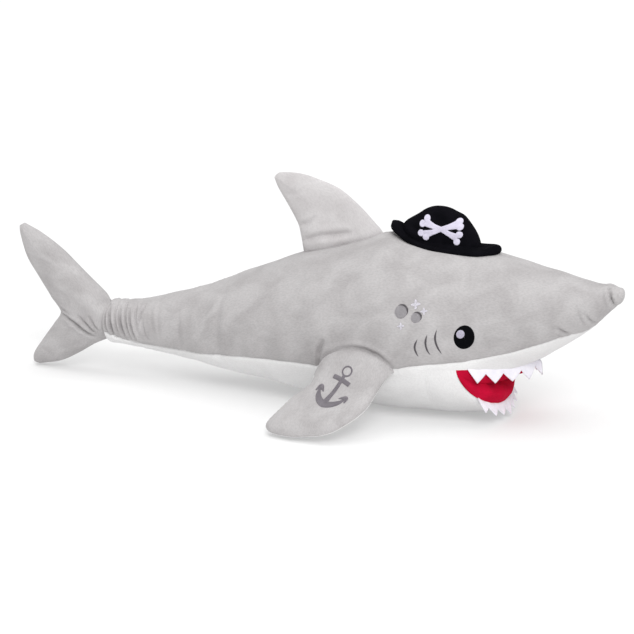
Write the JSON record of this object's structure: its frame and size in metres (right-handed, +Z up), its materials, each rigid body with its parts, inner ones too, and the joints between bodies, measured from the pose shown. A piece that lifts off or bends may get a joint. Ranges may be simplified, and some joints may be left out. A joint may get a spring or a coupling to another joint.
{
  "type": "plush shark",
  "caption": "Stuffed velour shark lying on its belly, with soft fins, a bending tail, a red lined mouth with felt teeth and a small black hat.",
  "frame": {"origin": "on the floor under the middle of the toy's length, in its plane of symmetry", "axes": "+X along the body towards the nose, +Y towards the toy's left side, +Z up"},
  "size_m": [1, 0.4652, 0.3553],
  "materials": {
    "grey_velour": "short pile velour, matt with a soft sheen",
    "white_velour": "short pile velour, matt with a soft sheen",
    "red_lining": "fine woven lining, matt",
    "white_felt": "pressed felt, matt",
    "black_satin": "close satin stitch, slight gloss",
    "lilac_thread": "satin stitch thread, slight gloss",
    "emblem_felt": "pressed felt, matt",
    "grey_thread": "satin stitch thread, slight gloss",
    "black_cloth": "brushed woven cloth, matt",
    "fibre_filling": "loose polyester fibre"
  },
  "bodies": {
    "trunk": {"right_side_panel": "grey_velour", "left_side_panel": "grey_velour", "belly_panel": "white_velour", "snout_underside": "white_velour", "palate_lining": "red_lining", "upper_teeth": "white_felt", "torso_filling": "fibre_filling", "head_filling": "fibre_filling", "right_eye": "black_satin", "left_eye": "black_satin", "right_eye_highlight": "lilac_thread", "left_eye_highlight": "lilac_thread", "right_gill_stitches": "grey_thread", "left_gill_stitches": "grey_thread", "right_cheek_spots": "grey_thread", "left_cheek_spots": "grey_thread", "right_cheek_sparkles": "lilac_thread", "left_cheek_sparkles": "lilac_thread"},
    "tail_stock": {"tail_stock_right_cover": "grey_velour", "tail_stock_left_cover": "grey_velour", "tail_stock_belly_cover": "white_velour", "tail_stock_filling": "fibre_filling"},
    "tail_fin": {"tail_fin_right_panel": "grey_velour", "tail_fin_left_panel": "grey_velour", "tail_fin_filling": "fibre_filling"},
    "dorsal_fin": {"dorsal_fin_right_panel": "grey_velour", "dorsal_fin_left_panel": "grey_velour", "dorsal_fin_filling": "fibre_filling"},
    "right_pectoral_fin": {"right_fin_top_panel": "grey_velour", "right_fin_underside": "white_velour", "right_fin_filling": "fibre_filling", "anchor_embroidery": "grey_thread"},
    "left_pectoral_fin": {"left_fin_top_panel": "grey_velour", "left_fin_underside": "white_velour", "left_fin_filling": "fibre_filling"},
    "lower_jaw": {"jaw_cover": "white_velour", "jaw_lining": "red_lining", "lower_teeth": "white_felt", "jaw_filling": "fibre_filling"},
    "hat": {"hat_front_panel": "black_cloth", "hat_back_panel": "black_cloth", "hat_brim": "black_cloth", "hat_emblem": "emblem_felt", "hat_filling": "fibre_filling"}
  },
  "joints": [
    {"name": "tail_lift", "type": "hinge", "parent": "trunk", "child": "tail_stock", "pos_m": [-0.18, 0, 0.0997], "axis": [0, 1, 0], "range_deg": [-1, 12]},
    {"name": "tail_swing", "type": "hinge", "parent": "tail_stock", "child": "tail_fin", "pos_m": [-0.345, 0, 0.0902], "axis": [0, 0, 1], "range_deg": [-35, 35]},
    {"name": "dorsal_fin_flop", "type": "hinge", "parent": "trunk", "child": "dorsal_fin", "pos_m": [-0.005, 0, 0.249], "axis": [0.9733, 0, 0.2296], "range_deg": [-45, 45]},
    {"name": "right_pectoral_lift", "type": "hinge", "parent": "trunk", "child": "right_pectoral_fin", "pos_m": [0.061, -0.131, 0.07], "axis": [-0.9916, 0.1042, -0.0767], "range_deg": [-2, 70]},
    {"name": "left_pectoral_lift", "type": "hinge", "parent": "trunk", "child": "left_pectoral_fin", "pos_m": [0.061, 0.131, 0.07], "axis": [0.9916, 0.1042, 0.0767], "range_deg": [-2, 70]},
    {"name": "jaw_close", "type": "hinge", "parent": "trunk", "child": "lower_jaw", "pos_m": [0.2835, 0, 0.022], "axis": [0, -1, 0], "range_deg": [-4, 10]},
    {"name": "hat_tilt", "type": "hinge", "parent": "trunk", "child": "hat", "pos_m": [0.226, 0.041, 0.2575], "axis": [-1, 0, 0], "range_deg": [0, 25]}
  ]
}
